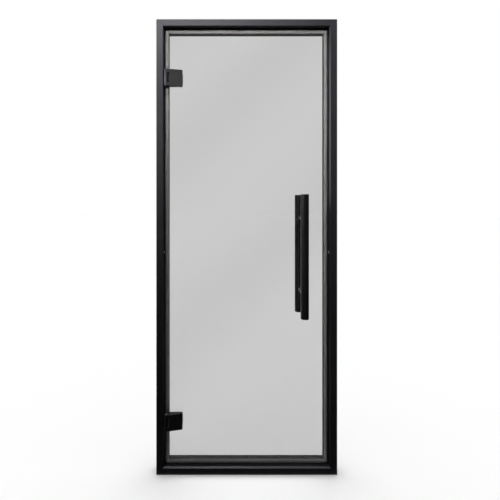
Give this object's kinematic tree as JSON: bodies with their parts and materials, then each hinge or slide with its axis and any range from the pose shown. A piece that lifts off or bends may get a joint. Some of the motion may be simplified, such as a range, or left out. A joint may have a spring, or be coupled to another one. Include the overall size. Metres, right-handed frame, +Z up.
{
  "type": "framed glass door",
  "caption": "Full-height smoke-grey glass leaf hung on side hinges in a slim black hollow frame with seals, with a long tubular pull handle on both faces.",
  "frame": {"origin": "centre of the sill's underside, at the middle of the frame's depth", "axes": "+Z up along the jambs, +X from the hinge jamb to the latch jamb seen from the opening side, +Y from the opening side through the doorway"},
  "size_m": [0.79, 0.1475, 1.99],
  "materials": {
    "frame_black": "satin black powder coat on an aluminium extrusion",
    "hinge_black": "satin black powder coat",
    "handle_black": "satin black powder coat",
    "smoke_glass": "clear polished tempered glass, tinted smoke grey",
    "seal_grey": "matt grey rubber",
    "stainless": "plain stainless steel",
    "cast_aluminium": "as cast",
    "nylon_black": "matt black nylon",
    "pad_black": "matt black fibre-reinforced rubber"
  },
  "bodies": {
    "frame": {"cleat_screws": "stainless", "head_rail": "frame_black", "head_rail_seal": "seal_grey", "hinge_base_screws": "stainless", "hinge_jamb": "frame_black", "hinge_jamb_seal": "seal_grey", "hinge_side_lower_cleat": "cast_aluminium", "hinge_side_upper_cleat": "cast_aluminium", "jamb_adjusters": "stainless", "latch_jamb": "frame_black", "latch_jamb_seal": "seal_grey", "latch_side_lower_cleat": "cast_aluminium", "latch_side_upper_cleat": "cast_aluminium", "lower_hinge_backing_plate": "stainless", "lower_hinge_base": "hinge_black", "lower_hinge_pin": "stainless", "sill_rail": "frame_black", "sill_rail_seal": "seal_grey", "upper_hinge_backing_plate": "stainless", "upper_hinge_base": "hinge_black", "upper_hinge_pin": "stainless"},
    "leaf": {"glass_pane": "smoke_glass", "handle_glass_sleeves": "nylon_black", "handle_grub_screws": "stainless", "handle_studs": "stainless", "handle_washers": "nylon_black", "hinge_bushes": "nylon_black", "hinge_clamp_screws": "stainless", "hinge_glass_sleeves": "nylon_black", "inner_handle_bar": "handle_black", "inner_handle_lower_cap": "handle_black", "inner_handle_lower_post": "stainless", "inner_handle_upper_cap": "handle_black", "inner_handle_upper_post": "stainless", "lower_hinge_back_pad": "pad_black", "lower_hinge_back_plate": "hinge_black", "lower_hinge_front_pad": "pad_black", "lower_hinge_leaf": "hinge_black", "outer_handle_bar": "handle_black", "outer_handle_lower_cap": "handle_black", "outer_handle_lower_post": "stainless", "outer_handle_upper_cap": "handle_black", "outer_handle_upper_post": "stainless", "upper_hinge_back_pad": "pad_black", "upper_hinge_back_plate": "hinge_black", "upper_hinge_front_pad": "pad_black", "upper_hinge_leaf": "hinge_black"}
  },
  "joints": [
    {"name": "door_hinge", "type": "hinge", "parent": "frame", "child": "leaf", "pos_m": [-0.352, -0.025, 0.982], "axis": [0, 0, -1], "range_deg": [0, 110]}
  ]
}
